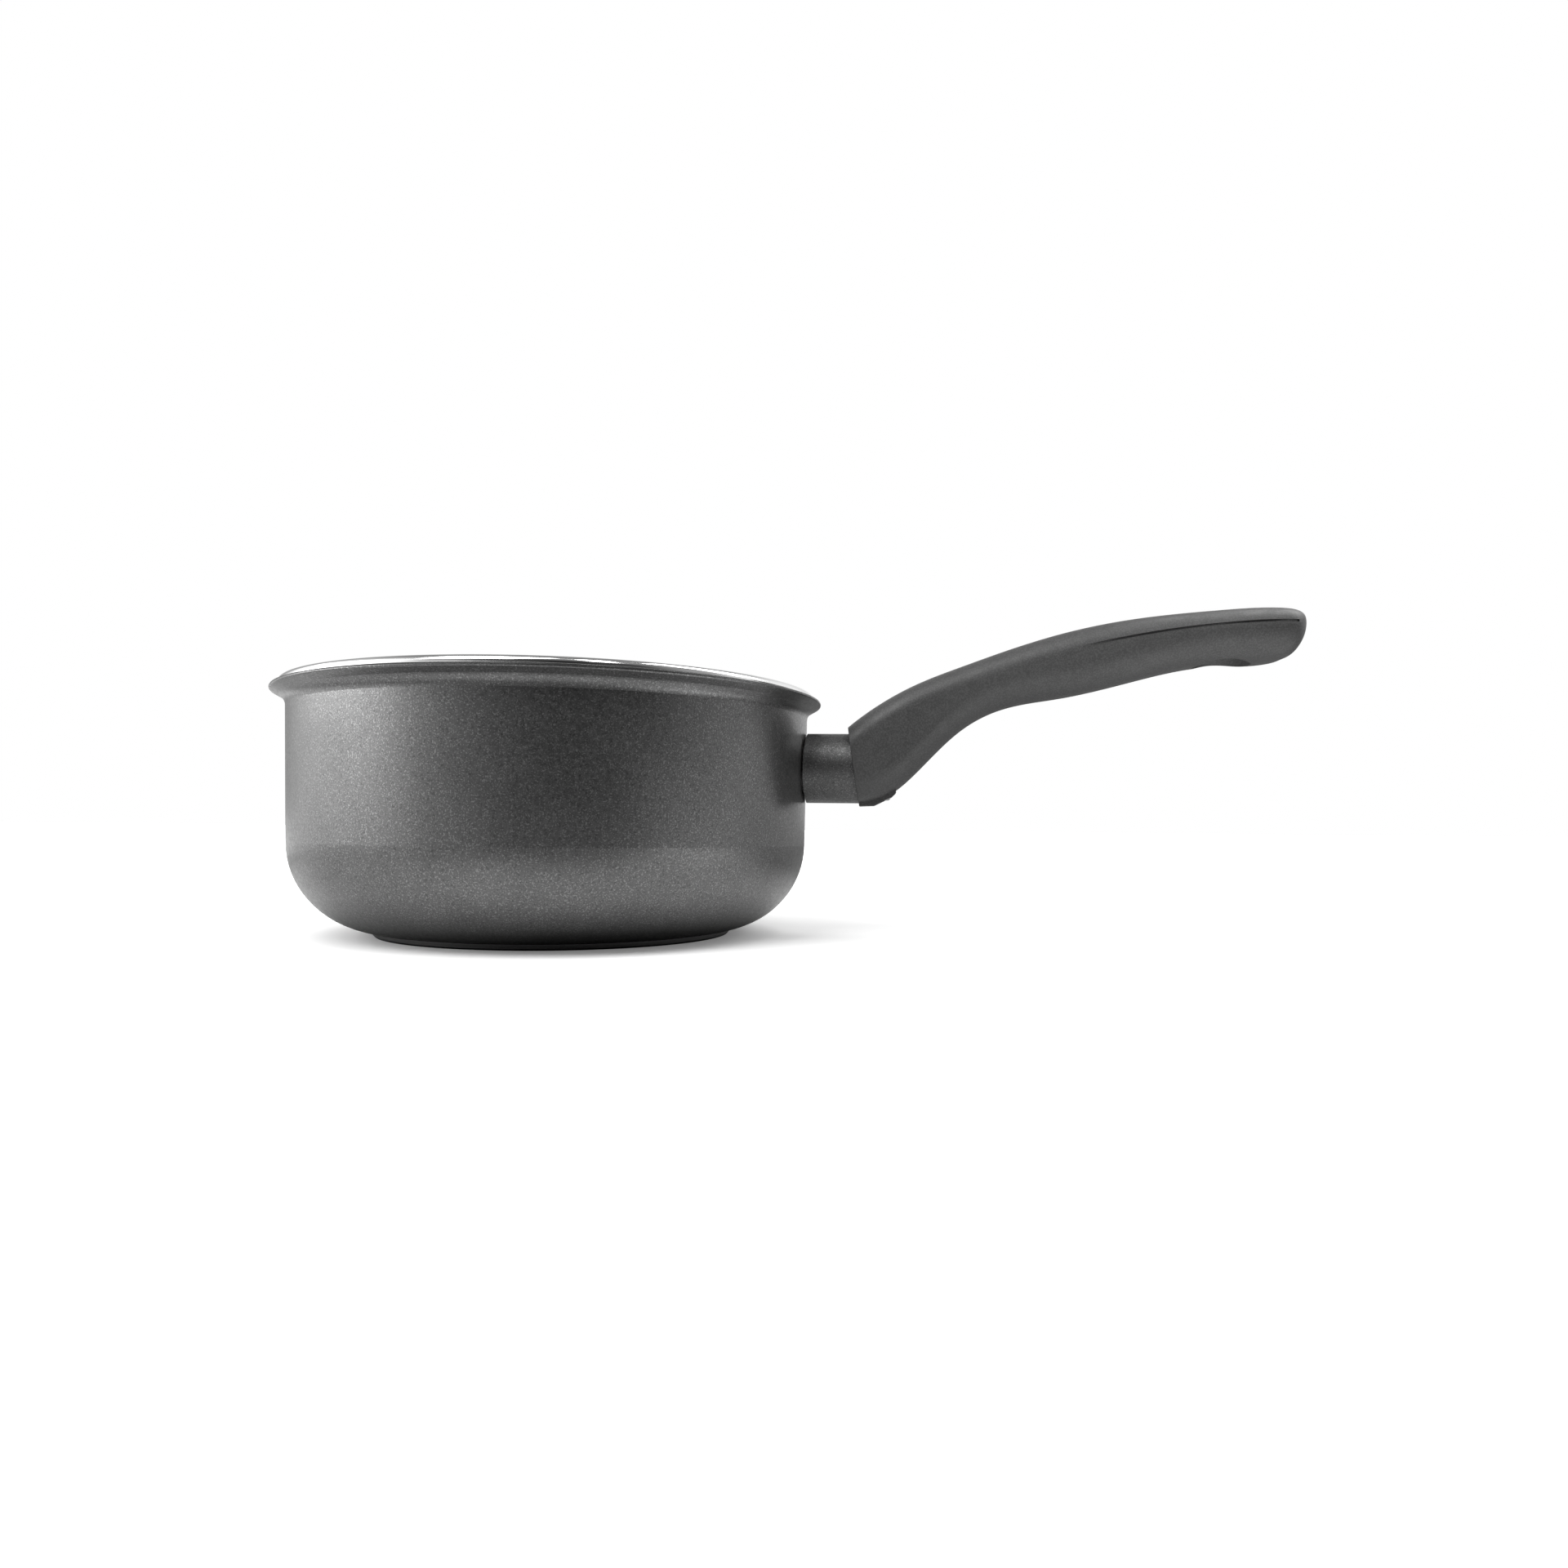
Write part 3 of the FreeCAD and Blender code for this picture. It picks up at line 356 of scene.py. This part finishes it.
def make_floor():
    """A pale sweep: flat under the pan, without an edge in sight."""
    mesh = bpy.data.meshes.new("floor")
    corners = [(-FLOOR_SIDE, -FLOOR_SIDE, 0), (FLOOR_SIDE, -FLOOR_SIDE, 0),
               (FLOOR_SIDE, FLOOR_SIDE, 0), (-FLOOR_SIDE, FLOOR_SIDE, 0)]
    mesh.from_pydata(corners, [], [range(4)])
    floor = bpy.data.objects.new("floor", mesh)
    bpy.context.scene.collection.objects.link(floor)
    n = Material("floor_white")
    seen = n.for_camera()
    radius = n.from_axis()
    shown = n.mix(n.noise(3), 0.86, 0.88)
    mesh.materials.append(n.shade(
        Base_Color=n.mix(seen, FLOOR_BOUNCE, shown), Roughness=0.9, Specular_IOR_Level=0.1,
        Emission_Color=colour(1.0),
        Emission_Strength=n.choose(seen, floor_pools(n, radius), floor_lift(n, radius))))


# ---------------------------------------------------------------- studio

CAMERA_SIDE = math.radians(-73)    # from the pan's axis, the camera stands in this direction

# Brightness of the studio round the horizon, by degrees from the camera's side, left negative.
RING = (
    (-180, 1.0),
    (-150, 0.4),
    (-120, 1.7),
    (-92, 2.5),
    (-70, 1.5),
    (-50, 0.5),
    (-28, 0.12),
    (0, 0.03),
    (30, 0.07),
    (60, 0.40),
    (92, 1.1),
    (125, 1.1),
    (145, 0.9),
    (158, 1.0),
    (180, 1.0),
)
RING_BRIGHTEST = 2.5
RING_UP_TO = math.radians(25)      # above this the ring fades
CEILING_FROM = math.radians(60)    # into the ceiling, which is full from here
CEILING = 0.3

PAN_MIDDLE = Vector((0, 0, 0.04))
TAIL = Vector((0.26, 0, 0.1))

# Name: place, target, width and height, power.
LIGHTS = {
    "key_left": (Vector((-0.88, -0.19, 0.42)), PAN_MIDDLE, (0.9, 0.5), 5.0),
    "top_front": (Vector((-0.18, -0.42, 0.65)), PAN_MIDDLE, (0.45, 0.5), 3.5),
    "top_right": (Vector((0.45, 0.08, 0.50)), TAIL, (0.25, 0.5), 1.9),
    "spark_right": (Vector((0.27, -0.36, 0.65)), PAN_MIDDLE, (0.12, 0.3), 0.8),
}


def horizon_ring(n, x, y):
    """Brightness of the studio in a direction along the floor."""
    turn = n.math("DIVIDE", n.math("ARCTAN2", y, x), math.tau)
    ring = n.add("ShaderNodeValToRGB")
    n.feed(ring, {0: n.math("ADD", turn, 0.5)})
    ring.color_ramp.interpolation = "EASE"
    stops = ring.color_ramp.elements
    while len(stops) < len(RING):
        stops.new(0.5)
    for stop, (degrees, level) in zip(stops, RING):
        stop.position = degrees / 360 + 0.5
        stop.color = colour(level / RING_BRIGHTEST)
    return n.math("MULTIPLY", ring.outputs[0], RING_BRIGHTEST)


def make_world():
    """White behind for the camera; for light and reflections, a studio that is dark on the camera's side."""
    world = bpy.data.worlds.new("studio")
    world.use_nodes = True
    n = Nodes(world.node_tree, "Generated")
    turned = n.add("ShaderNodeVectorRotate", rotation_type="Z_AXIS")
    n.feed(turned, {"Vector": n.place, "Angle": -CAMERA_SIDE})
    x, y, up = n.split(turned.outputs[0])
    above = n.ramp(up, math.sin(RING_UP_TO), math.sin(CEILING_FROM))
    studio = n.choose(above, horizon_ring(n, x, y), CEILING)
    n.feed(n.tree.nodes["Background"], {"Color": colour(1.0),
                                        "Strength": n.choose(n.for_camera(), studio, 1.0)})
    bpy.context.scene.world = world


def make_lights():
    """Soft boxes, each turned to its target."""
    for name, (place, target, (width, height), power) in LIGHTS.items():
        data = bpy.data.lights.new(name, "AREA")
        data.shape = "RECTANGLE"
        data.size = width
        data.size_y = height
        data.energy = power
        light = bpy.data.objects.new(name, data)
        direction = (target - place).to_track_quat("-Z", "Y")
        light.matrix_world = Matrix.Translation(place) @ direction.to_matrix().to_4x4()
        bpy.context.scene.collection.objects.link(light)


make_camera()
dress_nodes()
make_floor()
make_world()
make_lights()
bpy.context.scene.view_settings.view_transform = "Standard"
